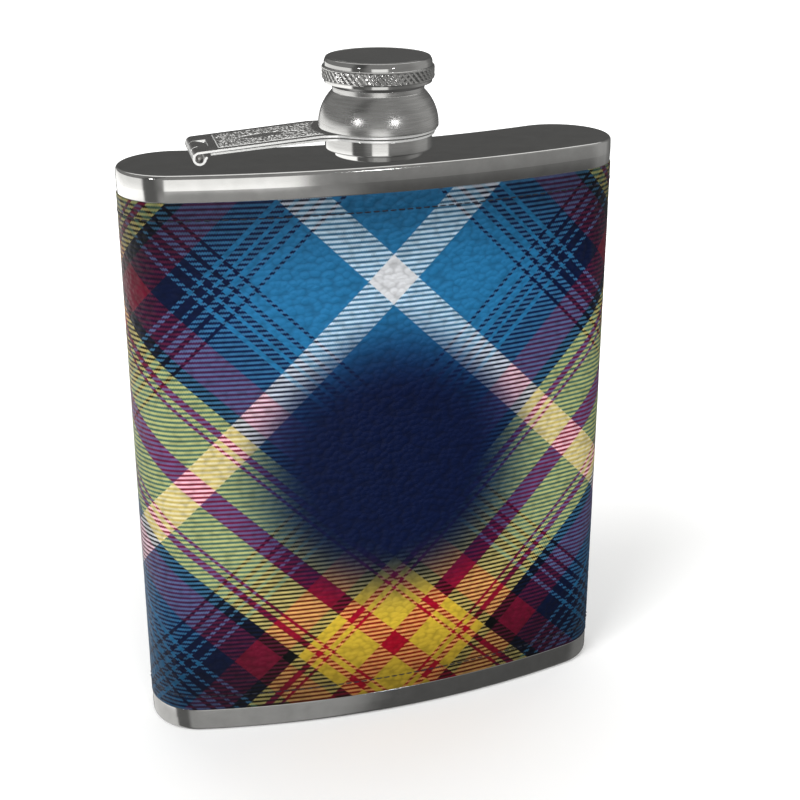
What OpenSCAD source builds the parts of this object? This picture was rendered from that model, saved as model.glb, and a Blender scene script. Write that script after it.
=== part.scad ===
// Hip flask: a flat oval steel bottle curved to the hip, with a leather-look wrap,
// a threaded neck, and a screw cap kept by a two-leaf hinged arm.
// Millimetres. Origin at the middle of the base, +Z up, the convex face towards -Y.

/* [Body] */
// Width over the steel
body_w = 95.8; // [90:0.2:106]
// Height from the base to the shoulder plate
body_h = 113.8; // [105:0.1:125]
// Thickness, from the convex face to the concave face
body_t = 20.8; // [19:0.2:22]
// Radius of the arc that the body's mid-surface is bent to
bend_r = 157; // [140:1:200]
// Thickness of the steel sheet
sheet_t = 0.7; // [0.5:0.05:0.8]
// Radius of the rolled rims at the base and the shoulder
rim_r = 1; // [0.8:0.1:1.4]
// Height of each pan's skirt
skirt_h = 6.8; // [6:0.1:9]
// Width of the weld beads
weld_w = 0.4; // [0.3:0.1:0.6]

/* [Wrap] */
// Depth of the recess in the steel that the wrap lies in
recess = 0.4; // [0.2:0.05:0.5]
// Bright steel left bare below and above the wrap
band_h = 4.8; // [4:0.1:5.5]
// Thickness of the wrap
wrap_t = 0.42; // [0.3:0.02:0.6]
// Thickness of the glue film under the wrap
glue_t = 0.08; // [0.05:0.01:0.1]
// Distance of the stitch rows from the wrap's edges
stitch_inset = 3.2; // [2.5:0.1:5]

/* [Neck] */
// Radius of the bore that the drink pours through
bore_r = 4.9; // [4:0.1:5]
// Radius of the neck tube at the root of its thread
tube_r = 5.9; // [5.7:0.1:6]
// Height of the mouth above the shoulder plate
mouth_h = 8.8; // [8.4:0.1:8.9]
// Rise of the thread in one turn
pitch = 1.2; // [1:0.1:1.4]
// Outer radius of the collar
collar_r = 9.92; // [9.7:0.01:10]

/* [Arm] */
// Distance from the neck's axis to the hinge pin
arm_len = 33.6; // [32:0.1:35]
// How far the arm is turned towards the back
arm_turn = 5; // [-30:1:30]
// Width of the upper leaf
leaf_w = 13.4; // [12:0.1:14]
// Sheet thickness of the leaves
leaf_t = 0.46; // [0.4:0.02:0.5]
// Outer radius of the rolled knuckles
knuckle_r = 1.25; // [1.2:0.01:1.4]
// Width of the lower leaf's middle knuckle
tongue_w = 4.6; // [4:0.1:5.4]

/* [Cap] */
// Outer radius of the dome
dome_r = 11.05; // [10.9:0.05:11.3]
// Radius over the knurl
knurl_r = 10.28; // [10:0.02:10.5]
// Height of the cap above the shoulder plate
cap_h = 17.7; // [17.5:0.1:18.5]

/* [Hidden] */
$fn = 96;
fine_fn = 720;

// Plan of the body: an arc run between two round ends
half_t = body_t / 2;
end_x = (body_w - body_t) / 2;
bend_a = asin(end_x / bend_r);
end_y = bend_r * (1 - cos(bend_a));
rim_steps = 6;

// Levels of the welds and of the wrap
base_weld_z = skirt_h;
shoulder_weld_z = body_h - skirt_h;
wrap_z0 = band_h;
wrap_z1 = body_h - band_h;
shell_out = half_t - recess;
shell_in = shell_out - sheet_t;
ledge_z = skirt_h - band_h + 0.05;
wrap_in = shell_out + glue_t;
wrap_out = wrap_in + wrap_t;
glue_inset = 0.5;
seam_gap = 0.3;

// Stitching: rows of thread that lie on the wrap's face
thread_w = 0.3;
thread_h = 0.12;
seam_stitch_x = 2.5;

// Neck, turned about its own axis
neck_y = 0.9;
plate_z = body_h;
flange_r = 7.4;
flange_t = 0.6;
braze_w = 0.5;
mouth_z = plate_z + mouth_h;
mouth_chamfer = 0.3;
thread_depth = 0.4;
thread_turns = 4;
ridge_root = 0.2;
first_thread_z = plate_z + 3.4;

// Collar: a foot ring, a cup for the cap's sleeve, and a lip over the lower leaf's ring
foot_r = 8.2;
cup_floor_z = plate_z + 1.3;
cup_floor_t = 0.35;
cup_r = 8.9;
collar_edge = 0.25;
seat_z = plate_z + 3.85;
seat_r = 9.3;
lip_r = 9.6;
lip_z0 = seat_z + 0.55;
lip_z1 = lip_z0 + 0.14;

// Running clearances of the arm
ring_gap = 0.08;
pin_gap = 0.07;
leaf_gap = 0.12;

// Lower leaf
low_t = 0.41;
low_z0 = seat_z + 0.07;
low_ring_r = 10.35;
low_leaf_w = leaf_w - 0.8;

// Upper leaf
up_z0 = lip_z1 + ring_gap;
up_z1 = up_z0 + leaf_t;
up_ring_r = 10.7;
sleeve_r = 8.1;
flare_r = 6;
flat_x = 12;

// Hinge pin
pin_x = -arm_len;
pin_z = plate_z + 2.05;
pin_r = knuckle_r - leaf_t - pin_gap;
pin_head = 0.15;
notch_w = tongue_w + 0.4;
notch_len = 2;
slope_a = atan2(up_z1 - pin_z, arm_len - flat_x)
    - asin(knuckle_r / norm([arm_len - flat_x, up_z1 - pin_z]));
low_end_x = arm_len - 2;
low_end_z = up_z1 - tan(slope_a) * (low_end_x - flat_x) - leaf_t - leaf_gap;
low_slope = (low_z0 + low_t - low_end_z) / (low_end_x - flat_x);
curl_end_a = -8;

// Cap
dome_z = up_z1 + 0.07;
hem_r = 9;
hem_t = 0.6;
dome_arc_r = 8.55;
dome_arc_x = 2.5;
dome_arc_z = dome_z + 0.35;
dome_wall = 0.75;
waist_r = 8.53;
waist_z = plate_z + 11.6;
waist_h = 0.9;
spigot_r = 7.78;
sleeve_z0 = cup_floor_z + cup_floor_t + 0.1;
sleeve_lip_r = 8.55;
sleeve_lip_t = 0.35;
sleeve_in_r = 7.4;
sleeve_crest_r = 6.95;
sleeve_top_z = plate_z + 10.95;
sleeve_top_t = 0.7;
seat_band_h = 0.5;
seal_r = 7.2;
seal_t = 1.2;
seal_gap = 0.06;
cap_z = plate_z + cap_h;
band_r = 9.82;
band_z = waist_z + waist_h + 0.7;
knurl_z0 = plate_z + 13.8;
knurl_z1 = plate_z + 16.2;
knurl_edge = 0.25;
crown_round = 0.45;
disc_r = 8.85;
disc_t = 0.35;

// Sweeps a half section (x out from the mid-surface, y up) along the body's arc
module arc_run() {
    translate([0, bend_r, 0]) rotate([0, 0, -90 - bend_a])
        rotate_extrude(angle = 2 * bend_a, $fn = fine_fn)
            translate([bend_r, 0]) {
                children();
                mirror([1, 0]) children();
            }
}

// Turns the same half section round both ends of the body
module round_ends() {
    for (side = [0, 1])
        mirror([side, 0, 0]) translate([end_x, end_y, 0]) rotate([0, 0, bend_a - 90])
            rotate_extrude(angle = 180) children();
}

module round_body() {
    arc_run() children();
    round_ends() children();
}

module band_half(r_in, r_out, z0, z1) {
    translate([r_in, z0]) square([r_out - r_in, z1 - z0]);
}

// Half section of a block with its top outer edge rounded
module rounded_half(w, h, r) {
    square([w - r, h]);
    square([w, h - r]);
    translate([w - r, h - r]) circle(r);
}

// Half section of a pan: recessed skirt, band, rolled rim in short steps, and plate
module pan_half() {
    polygon([
        [0, skirt_h - sheet_t], [half_t - sheet_t, skirt_h - sheet_t],
        [half_t - sheet_t, ledge_z + sheet_t], [shell_in, ledge_z + sheet_t - recess],
        [shell_in, 0], [shell_out, 0], [shell_out, ledge_z], [half_t, ledge_z],
        for (i = [0:rim_steps])
            [half_t, skirt_h] - rim_r * [1 - cos(90 * i / rim_steps), 1 - sin(90 * i / rim_steps)],
        [0, skirt_h]
    ]);
}

module about_neck() {
    translate([0, neck_y, 0]) children();
}

module on_arm() {
    about_neck() rotate([0, 0, -arm_turn]) children();
}

// ---- Flask body ----

module seam_strip(w) {
    translate([-w / 2, 0, 0]) cube([w, body_t, body_h]);
}

module shell_tube() {
    round_body() band_half(shell_in, shell_out, base_weld_z + weld_w, shoulder_weld_z - weld_w);
}

module body_shell() {
    color("silver") difference() {
        shell_tube();
        seam_strip(weld_w);
    }
}

module body_seam_weld() {
    color("darkgray") intersection() {
        shell_tube();
        seam_strip(weld_w);
    }
}

module top_pan() {
    color("gainsboro") translate([0, 0, shoulder_weld_z]) {
        difference() {
            arc_run() pan_half();
            about_neck() cylinder(r = tube_r, h = 2 * skirt_h);
        }
        round_ends() pan_half();
    }
}

module bottom_pan() {
    color("gainsboro") translate([0, 0, skirt_h]) mirror([0, 0, 1]) round_body() pan_half();
}

module weld_ring(z) {
    color("darkgray") round_body() band_half(shell_in, shell_out, z, z + weld_w);
}

module shoulder_weld() {
    weld_ring(shoulder_weld_z - weld_w);
}

module base_weld() {
    weld_ring(base_weld_z);
}

// ---- Wrap ----

module wrap_adhesive() {
    color("tan") round_body() band_half(shell_out, wrap_in, wrap_z0 + glue_inset, wrap_z1 - glue_inset);
}

module leather_wrap() {
    color("steelblue") difference() {
        round_body() band_half(wrap_in, wrap_out, wrap_z0, wrap_z1);
        seam_strip(seam_gap);
    }
}

module stitch_row(z) {
    color("midnightblue") round_body()
        band_half(wrap_out, wrap_out + thread_h, z - thread_w / 2, z + thread_w / 2);
}

module top_stitching() {
    stitch_row(wrap_z1 - stitch_inset);
}

module bottom_stitching() {
    stitch_row(wrap_z0 + stitch_inset);
}

module back_stitching() {
    z0 = wrap_z0 + stitch_inset + 2 * thread_w;
    color("midnightblue") intersection() {
        arc_run() band_half(wrap_out, wrap_out + thread_h, z0, body_h - z0);
        for (side = [-1, 1])
            translate([side * seam_stitch_x - thread_w / 2, 0, 0]) cube([thread_w, body_t, body_h]);
    }
}

// ---- Neck ----

// Half section of one thread ridge standing d high on radius r
module ridge(r, d, z) {
    translate([r, z]) polygon([
        [-ridge_root, -pitch / 4], [0, -pitch / 4], [d, -pitch / 10],
        [d, pitch / 10], [0, pitch / 4], [-ridge_root, pitch / 4]
    ]);
}

module neck_spout() {
    color("silver") about_neck() rotate_extrude() {
        difference() {
            translate([bore_r, plate_z - sheet_t - flange_t])
                square([tube_r - bore_r, mouth_z - plate_z + sheet_t + flange_t]);
            translate([tube_r, mouth_z]) rotate(45) square(mouth_chamfer * sqrt(2), center = true);
        }
        translate([bore_r, plate_z - sheet_t - flange_t]) square([flange_r - bore_r, flange_t]);
        for (i = [0:thread_turns - 1]) ridge(tube_r, thread_depth, first_thread_z + i * pitch);
    }
}

module neck_braze() {
    z = plate_z - sheet_t;
    color("darkgray") about_neck() rotate_extrude()
        polygon([[flange_r, z], [flange_r + braze_w, z], [flange_r, z - flange_t]]);
}

module neck_collar() {
    floor_z1 = cup_floor_z + cup_floor_t;
    color("silver") about_neck() rotate_extrude()
        polygon([
            [tube_r, plate_z], [foot_r, plate_z],
            [foot_r, cup_floor_z], [collar_r - collar_edge, cup_floor_z],
            [collar_r, cup_floor_z + collar_edge], [collar_r, seat_z],
            [seat_r, seat_z], [seat_r, lip_z0], [lip_r, lip_z0], [lip_r, lip_z1],
            [cup_r, lip_z1], [cup_r, floor_z1], [tube_r, floor_z1]
        ]);
}

// ---- Arm ----

// Plan of a leaf: a ring, a strap to the hinge, and flares between them
module leaf_plan(ring_r, w, reach) {
    flare_y = w / 2 + flare_r;
    flare_x = -sqrt(pow(ring_r + flare_r, 2) - flare_y * flare_y);
    circle(ring_r);
    translate([-reach, -w / 2]) square([reach, w]);
    difference() {
        polygon([[0, 0], [flare_x, flare_y], [flare_x, -flare_y]]);
        for (side = [-1, 1]) translate([flare_x, side * flare_y]) circle(flare_r);
    }
}

// A side profile (x along the arm, y up), made w wide about the neck's axis
module leaf_bar(w) {
    rotate([90, 0, 0]) translate([0, 0, -w / 2]) linear_extrude(w) children();
}

// Side profile of the flat ring and the sloping strap; z1 is the top face of the ring
module strap_side(z1, t, slope, reach) {
    polygon([
        [up_ring_r + 1, z1], [-flat_x, z1], [-reach, z1 - slope * (reach - flat_x)],
        [-reach, z1 - slope * (reach - flat_x) - t], [-flat_x, z1 - t], [up_ring_r + 1, z1 - t]
    ]);
}

module knuckle_ring(r_in) {
    difference() {
        circle(knuckle_r);
        circle(r_in);
    }
}

// The upper leaf's rolled knuckle, open on its upper right, with a small turned-out lip
module curl_side() {
    far = 3 * knuckle_r;
    translate([pin_x, pin_z]) {
        difference() {
            knuckle_ring(knuckle_r - leaf_t);
            polygon([
                [0, 0], far * [cos(curl_end_a), sin(curl_end_a)], [far, far],
                far * [cos(90 + slope_a), sin(90 + slope_a)]
            ]);
        }
        rotate(curl_end_a - 30) translate([knuckle_r - leaf_t, 0]) rotate(-20)
            translate([0.12, 0.1]) square([leaf_t * 0.8, 0.75]);
    }
}

module upper_link() {
    tangent_x = arm_len + knuckle_r * sin(slope_a);
    color("lightgray") on_arm() difference() {
        intersection() {
            leaf_bar(2 * up_ring_r) {
                strap_side(up_z1, leaf_t, tan(slope_a), tangent_x);
                curl_side();
            }
            linear_extrude(2 * body_h) leaf_plan(up_ring_r, leaf_w, arm_len + 2 * knuckle_r);
        }
        cylinder(r = sleeve_r + ring_gap, h = 2 * body_h);
        translate([pin_x - 2 * knuckle_r, -notch_w / 2, plate_z])
            cube([2 * knuckle_r + notch_len, notch_w, 2 * pin_z - 2 * plate_z]);
    }
}

module lower_link() {
    tongue_end = arm_len - 0.9;
    color("gray") on_arm() difference() {
        union() {
            intersection() {
                leaf_bar(2 * low_ring_r) strap_side(low_z0 + low_t, low_t, low_slope, tongue_end);
                linear_extrude(2 * body_h) union() {
                    leaf_plan(low_ring_r, low_leaf_w, low_end_x);
                    translate([-tongue_end, -tongue_w / 2]) square([tongue_end, tongue_w]);
                }
            }
            leaf_bar(tongue_w) translate([pin_x, pin_z]) knuckle_ring(pin_r);
        }
        cylinder(r = seat_r + ring_gap, h = 2 * body_h);
    }
}

module hinge_pin() {
    len = leaf_w - 2 * pin_head;
    color("dimgray") on_arm() translate([pin_x, 0, pin_z]) rotate([90, 0, 0])
        rotate_extrude() polygon([
            [0, -len / 2], [pin_r - pin_head, -len / 2], [pin_r, pin_head - len / 2],
            [pin_r, len / 2 - pin_head], [pin_r - pin_head, len / 2], [0, len / 2]
        ]);
}

// ---- Cap ----

module cap_seal() {
    color("black") about_neck() translate([0, 0, mouth_z + seal_gap]) cylinder(r = seal_r, h = seal_t);
}

module cap_sleeve() {
    color("silver") about_neck() difference() {
        rotate_extrude() {
            translate([0, sleeve_z0]) square([sleeve_r, sleeve_top_z - sleeve_z0]);
            translate([0, sleeve_z0]) square([sleeve_lip_r, sleeve_lip_t]);
        }
        rotate_extrude() translate([0, sleeve_z0 - 1]) difference() {
            square([sleeve_in_r, sleeve_top_z - sleeve_top_t - sleeve_z0 + 1]);
            for (i = [0:thread_turns - 2])
                mirror([1, 0])
                    ridge(-sleeve_in_r, sleeve_in_r - sleeve_crest_r,
                          first_thread_z + (i + 0.5) * pitch - sleeve_z0 + 1);
        }
    }
}

// Half section of the dome's arc at wall depth d, from the hem up to height z1
module dome_half(d, z1) {
    intersection() {
        union() {
            translate([dome_arc_x, dome_arc_z]) circle(dome_arc_r - d);
            square([dome_arc_x + dome_arc_r - d, dome_arc_z]);
            square([dome_arc_x, 2 * body_h]);
        }
        translate([0, dome_z]) square([dome_r, z1 - dome_z]);
    }
}

module cap_dome() {
    seat_z0 = sleeve_top_z - seat_band_h;
    color("silver") about_neck() rotate_extrude() difference() {
        union() {
            dome_half(0, waist_z);
            translate([0, dome_z]) square([waist_r, waist_z + waist_h - dome_z]);
        }
        intersection() {
            dome_half(dome_wall, seat_z0);
            translate([0, dome_z + hem_t]) square([dome_r, body_h]);
        }
        translate([0, dome_z - 1]) square([hem_r, hem_t + 2]);
        translate([0, dome_z]) square([sleeve_r, sleeve_top_z - dome_z]);
        translate([0, dome_z]) square([spigot_r, body_h]);
    }
}

module cap_crown() {
    collar_top = waist_z + waist_h;
    color("silver") about_neck() rotate_extrude() difference() {
        union() {
            translate([0, sleeve_top_z]) square([spigot_r, collar_top - sleeve_top_z]);
            polygon([
                [0, collar_top], [waist_r, collar_top], [waist_r + 0.7, band_z - 0.1],
                [band_r - 0.1, band_z], [band_r, band_z + 0.1], [band_r, knurl_z0],
                [knurl_r - knurl_edge, knurl_z0], [knurl_r, knurl_z0 + knurl_edge],
                [knurl_r, knurl_z1 - knurl_edge], [knurl_r - knurl_edge, knurl_z1],
                [0, knurl_z1]
            ]);
            translate([0, knurl_z1]) rounded_half(band_r, cap_z - knurl_z1, crown_round);
        }
        translate([0, cap_z - disc_t]) square([disc_r, 2 * disc_t]);
    }
}

module cap_top_disc() {
    color("dimgray") about_neck() translate([0, 0, cap_z - disc_t]) cylinder(r = disc_r, h = disc_t);
}

body_shell();
body_seam_weld();
top_pan();
bottom_pan();
shoulder_weld();
base_weld();
neck_spout();
neck_braze();
neck_collar();
wrap_adhesive();
leather_wrap();
top_stitching();
bottom_stitching();
back_stitching();
lower_link();
hinge_pin();
upper_link();
cap_seal();
cap_sleeve();
cap_dome();
cap_crown();
cap_top_disc();
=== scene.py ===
"""Looks of the hip flask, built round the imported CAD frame.

Helpers and values are in millimetres and degrees unless they say otherwise; meshes are stored in metres.
"""

import math

import bmesh
import bpy
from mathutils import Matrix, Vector, noise


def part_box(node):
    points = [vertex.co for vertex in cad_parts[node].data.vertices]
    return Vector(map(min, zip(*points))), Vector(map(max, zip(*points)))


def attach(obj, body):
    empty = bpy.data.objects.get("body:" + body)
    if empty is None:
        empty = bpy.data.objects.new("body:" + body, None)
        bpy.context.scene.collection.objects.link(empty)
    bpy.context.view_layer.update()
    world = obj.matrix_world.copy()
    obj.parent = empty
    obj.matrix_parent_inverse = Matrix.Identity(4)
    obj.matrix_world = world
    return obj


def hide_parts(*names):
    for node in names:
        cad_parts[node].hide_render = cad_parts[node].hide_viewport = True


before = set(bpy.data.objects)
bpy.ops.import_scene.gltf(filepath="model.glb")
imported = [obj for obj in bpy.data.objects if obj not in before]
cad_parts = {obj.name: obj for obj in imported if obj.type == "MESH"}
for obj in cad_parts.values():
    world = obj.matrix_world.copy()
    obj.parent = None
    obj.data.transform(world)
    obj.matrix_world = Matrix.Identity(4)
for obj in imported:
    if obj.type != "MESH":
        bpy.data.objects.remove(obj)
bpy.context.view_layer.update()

MM = 0.001


def levels(node):
    """Lowest and highest z of a CAD node."""
    lo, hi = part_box(node)
    return lo.z / MM, hi.z / MM


# ---- Sizes, as in the CAD ----

# The plan's mid-surface: an arc of radius BEND_R that ends at END_X, with round ends about that point
BEND_R = 157.0
END_X = 37.5
BEND_A = math.asin(END_X / BEND_R)
END_Y = BEND_R * (1 - math.cos(BEND_A))
# Out from the mid-surface: the bands, the steel under the wrap, and the glue's and the wrap's faces
HALF_T = 10.4
SHELL_OUT = 10.0
GLUE_OUT = 10.08
WRAP_OUT = 10.5
SHEET = 0.7
RIM_R = 0.65
SEAM_HALF = 0.15
NECK_Y = 0.9
TUBE_R = 5.9
PLATE_Z = levels("top_pan")[1]
WRAP_Z0, WRAP_Z1 = levels("leather_wrap")
# The arm points left and is turned a little about the neck; its places are measured along it
ARM_TURN = math.radians(5)
LEAF_TOP = levels("upper_link")[1]
PIN_X = -33.6
PIN_Z = sum(levels("hinge_pin")) / 2
PIN_R = 0.72
KNUCKLE_R = 1.25

# Lengths of the plan's quarters, measured on the wrap's face
FRONT_L = (BEND_R + WRAP_OUT) * BEND_A
END_L = math.pi * WRAP_OUT
BACK_L = (BEND_R - WRAP_OUT) * BEND_A
ROUND_L = 2 * (FRONT_L + END_L + BACK_L)


# ---- Mesh helpers ----

# Vertices closer than this are one, in metres
SAME_PLACE = 1e-7
# A smaller radius than this is a pole
POLE_R = 1e-6
# Sectors of a plain turned piece
SECTORS = 192


def plan_at(s):
    """Base point and outward direction of the body's plan, s along the wrap's face from the front."""
    side = -1 if s < 0 else 1
    run = abs(s)
    if run <= FRONT_L:
        a = run / (BEND_R + WRAP_OUT)
        base = (BEND_R * math.sin(a), BEND_R - BEND_R * math.cos(a))
        out = (math.sin(a), -math.cos(a))
    elif run <= FRONT_L + END_L:
        a = BEND_A - math.pi / 2 + (run - FRONT_L) / WRAP_OUT
        base = (END_X, END_Y)
        out = (math.cos(a), math.sin(a))
    else:
        a = BEND_A - (run - FRONT_L - END_L) / (BEND_R - WRAP_OUT)
        base = (BEND_R * math.sin(a), BEND_R - BEND_R * math.cos(a))
        out = (-math.sin(a), math.cos(a))
    return Vector((side * base[0], base[1], 0)), Vector((side * out[0], out[1], 0))


def on_body(s, d, z):
    """A point d out from the body's mid-surface."""
    base, out = plan_at(s)
    return base + out * d + Vector((0, 0, z))


def on_arm(x, y, z):
    """A point given along and across the arm, about the neck's axis."""
    c, s = math.cos(ARM_TURN), math.sin(ARM_TURN)
    return Vector((x * c + y * s, NECK_Y - x * s + y * c, z))


def filleted(corners, steps=5):
    """Rounds a chain of (x, y, radius) corners; the first and the last are kept as they are."""
    points = [Vector(corners[0][:2])]
    for before, at, after in zip(corners, corners[1:], corners[2:]):
        here = Vector(at[:2])
        if not at[2]:
            points.append(here)
            continue
        to_a, to_b = Vector(before[:2]) - here, Vector(after[:2]) - here
        half = to_a.angle(to_b) / 2
        cut = min(at[2] / math.tan(half), 0.499 * to_a.length, 0.499 * to_b.length)
        a, b = here + to_a.normalized() * cut, here + to_b.normalized() * cut
        for i in range(steps + 1):
            t = i / steps
            points.append(a * (1 - t) ** 2 + here * 2 * t * (1 - t) + b * t * t)
    points.append(Vector(corners[-1][:2]))
    return points


def arc_points(x, y, r, a0, a1, steps):
    """Points of an arc from angle a0 to a1, in degrees."""
    angles = [math.radians(a0 + (a1 - a0) * i / steps) for i in range(steps + 1)]
    return [Vector((x + r * math.cos(a), y + r * math.sin(a))) for a in angles]


def quads_between(rows, closed_rows, closed_columns):
    """Faces of a grid given as rows of vertex numbers; a row of one vertex is a pole."""
    faces = []
    pairs = list(zip(rows, rows[1:]))
    if closed_rows:
        pairs.append((rows[-1], rows[0]))
    for low, high in pairs:
        n = max(len(low), len(high))
        for i in range(n if closed_columns else n - 1):
            j = (i + 1) % n
            if len(low) == 1:
                faces.append((low[0], high[j], high[i]))
            elif len(high) == 1:
                faces.append((low[i], low[j], high[0]))
            else:
                faces.append((low[i], low[j], high[j], high[i]))
    return faces


def turned(profile, sectors, closed=True, relief=None):
    """Turns a profile of (radius, z) about the neck. relief(angle, radius, z) is added to the radius."""
    verts, rows = [], []
    for r, z in profile:
        row = []
        for i in range(sectors if r > POLE_R else 1):
            a = 2 * math.pi * i / sectors
            rr = r + (relief(a, r, z) if relief else 0)
            row.append(len(verts))
            verts.append(Vector((rr * math.cos(a), NECK_Y + rr * math.sin(a), z)))
        rows.append(row)
    return verts, quads_between(rows, closed, True)


def stations_every(step, inset=0.0):
    """Even stations right round the plan from the back's middle; inset is half a gap left there."""
    n = round(ROUND_L / step)
    if inset:
        span = ROUND_L - 2 * inset
        return [-span / 2 + span * i / n for i in range(n + 1)]
    return [-ROUND_L / 2 + ROUND_L * i / n for i in range(n)]


def build(name, verts, faces, sharp):
    """A smooth-shaded mesh object with its normals outwards; edges over sharp degrees stay sharp."""
    mesh = bpy.data.meshes.new(name)
    mesh.from_pydata([tuple(Vector(v) * MM) for v in verts], [], faces)
    return finish_mesh(name, mesh, sharp)


def finish_mesh(name, mesh, sharp):
    bm = bmesh.new()
    bm.from_mesh(mesh)
    bmesh.ops.remove_doubles(bm, verts=bm.verts, dist=SAME_PLACE)
    bmesh.ops.recalc_face_normals(bm, faces=bm.faces)
    bm.to_mesh(mesh)
    bm.free()
    mesh.shade_smooth()
    mesh.set_sharp_from_angle(angle=math.radians(sharp))
    piece = bpy.data.objects.new(name, mesh)
    bpy.context.scene.collection.objects.link(piece)
    return piece


def place(piece, body, slot, material, *nodes):
    """Gives a piece its material and its body, and hides the CAD nodes it stands for; slot is not used."""
    wear(piece, material)
    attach(piece, body)
    if nodes:
        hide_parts(*nodes)


def wear(piece, material):
    """Gives an object its only material. The steel mirrors the studio alone, and none of the parts."""
    piece.data.materials.clear()
    piece.data.materials.append(material)
    piece.visible_glossy = False


# ---- Material helpers ----

def shown(r, g, b):
    """A colour given as 0-255 display values, kept as display values."""
    return r / 255, g / 255, b / 255, 1.0


def linear(r, g, b):
    """A colour given as 0-255 display values, made linear."""
    def channel(c):
        c /= 255
        return c / 12.92 if c <= 0.04045 else ((c + 0.055) / 1.055) ** 2.4
    return channel(r), channel(g), channel(b), 1.0


# Noise is read between these levels, as it seldom goes past them
NOISE_LOW, NOISE_HIGH = 0.3, 0.7
WHITE = (1, 1, 1, 1)


class Nodes:
    """Short calls for building a node tree."""

    def __init__(self, tree):
        self.tree = tree

    def add(self, kind, inputs=(), **settings):
        node = self.tree.nodes.new("ShaderNode" + kind)
        for key, value in settings.items():
            setattr(node, key, value)
        for key, value in dict(inputs).items():
            self.put(node.inputs[key], value)
        return node

    def put(self, socket, value):
        if isinstance(value, bpy.types.NodeSocket):
            self.tree.links.new(value, socket)
        else:
            socket.default_value = value

    def math(self, operation, *values):
        return self.add("Math", enumerate(values), operation=operation).outputs[0]

    def smooth(self, value, low, high):
        """0 at low and 1 at high, with a soft run between."""
        node = self.add("MapRange", {0: value, 1: low, 2: high}, interpolation_type="SMOOTHSTEP")
        return node.outputs[0]

    def spread(self, noise_value, low, high):
        """Noise made to run from low to high."""
        inputs = {0: noise_value, 1: NOISE_LOW, 2: NOISE_HIGH, 3: low, 4: high}
        return self.add("MapRange", inputs).outputs[0]

    def tones(self, noise_value, dark, light):
        """Noise made to run from a dark to a light colour."""
        return self.ramp(noise_value, [(NOISE_LOW, dark), (NOISE_HIGH, light)])

    def ramp(self, factor, stops, interpolation="LINEAR"):
        node = self.add("ValToRGB", {0: factor})
        ramp = node.color_ramp
        ramp.interpolation = interpolation
        for i, (position, colour) in enumerate(stops):
            element = ramp.elements[i] if i < 2 else ramp.elements.new(position)
            element.position = position
            element.color = colour
        return node.outputs[0]

    def mix(self, factor, a, b, blend="MIX"):
        node = self.add("Mix", {0: factor, 6: a, 7: b}, data_type="RGBA", blend_type=blend)
        return node.outputs[2]

    def noise(self, vector, scale, detail=2.0, roughness=0.5):
        inputs = {"Vector": vector, "Scale": scale, "Detail": detail, "Roughness": roughness}
        return self.add("TexNoise", inputs).outputs["Fac"]

    def grey(self, value):
        return self.add("CombineColor", {0: value, 1: value, 2: value}).outputs[0]

    def bump(self, height, distance, strength=1.0, normal=None):
        inputs = {"Height": height, "Distance": distance, "Strength": strength}
        if normal:
            inputs["Normal"] = normal
        return self.add("Bump", inputs).outputs[0]


def new_material(name):
    """A material, its nodes, its shader and its object coordinates."""
    material = bpy.data.materials.new(name)
    material.use_nodes = True
    nodes = Nodes(material.node_tree)
    shader = material.node_tree.nodes["Principled BSDF"]
    place_in = nodes.add("TexCoord").outputs["Object"]
    return material, nodes, shader, place_in


def stretched(nodes, vector, x, y, z):
    """The vector scaled along each axis, so that noise in it runs as long streaks."""
    return nodes.add("VectorMath", {0: vector, 1: (x, y, z)}, operation="MULTIPLY").outputs[0]


# Steel: how fine its clouds and specks are, the streaks' share of its tone, and how its roughness varies
CLOUD_SCALE, SPECK_SCALE = 130.0, 5200.0
STREAK_SHARE = 0.6
ROUGH_SPREAD = 0.15
# Painted highlight on steep faces, such as a sheet's edges and curls and the sides of pebbles: its pale
# colour, and how much of their metal look they lose
EDGE_HIGHLIGHT_COLOUR = (0.9, 0.9, 0.89, 1)
EDGE_HIGHLIGHT_MATT = 0.6


def steel(name, dark, light, rough, streak, grain=0.0, depth=2e-6, detail=3.0, highlight_slopes=None):
    """Stainless steel: a tone that varies a little, streaks of polishing, and fine grain in the shine.

    Faces that lean further than the given limits (of the upright part of the normal) get a painted highlight:
    pale and matt.
    """
    material, nodes, shader, place_in = new_material(name)
    lines = nodes.noise(stretched(nodes, place_in, *streak), 1.0, detail, 0.6)
    clouds = nodes.noise(place_in, CLOUD_SCALE, 3.0)
    tone = nodes.math("ADD", nodes.math("MULTIPLY", lines, STREAK_SHARE),
                      nodes.math("MULTIPLY", clouds, 1 - STREAK_SHARE))
    colour = nodes.tones(tone, dark, light)
    metallic = 1.0
    # Painted highlight: steep faces are made pale and less metallic
    if highlight_slopes:
        upright = nodes.add("SeparateXYZ", {0: nodes.add("NewGeometry").outputs["Normal"]}).outputs[2]
        side = nodes.math("SUBTRACT", 1.0, nodes.smooth(nodes.math("ABSOLUTE", upright), *highlight_slopes))
        colour = nodes.mix(side, colour, EDGE_HIGHLIGHT_COLOUR)
        metallic = nodes.math("SUBTRACT", 1.0, nodes.math("MULTIPLY", side, EDGE_HIGHLIGHT_MATT))
    nodes.put(shader.inputs["Metallic"], metallic)
    nodes.put(shader.inputs["Base Color"], colour)
    roughness = nodes.spread(tone, rough * (1 - ROUGH_SPREAD), rough * (1 + ROUGH_SPREAD))
    nodes.put(shader.inputs["Roughness"], roughness)
    normal = nodes.bump(lines, depth)
    if grain:
        normal = nodes.bump(nodes.noise(place_in, SPECK_SCALE, 1.0), grain, normal=normal)
    nodes.put(shader.inputs["Normal"], normal)
    return material


# ---- The print on the wrap ----

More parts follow.
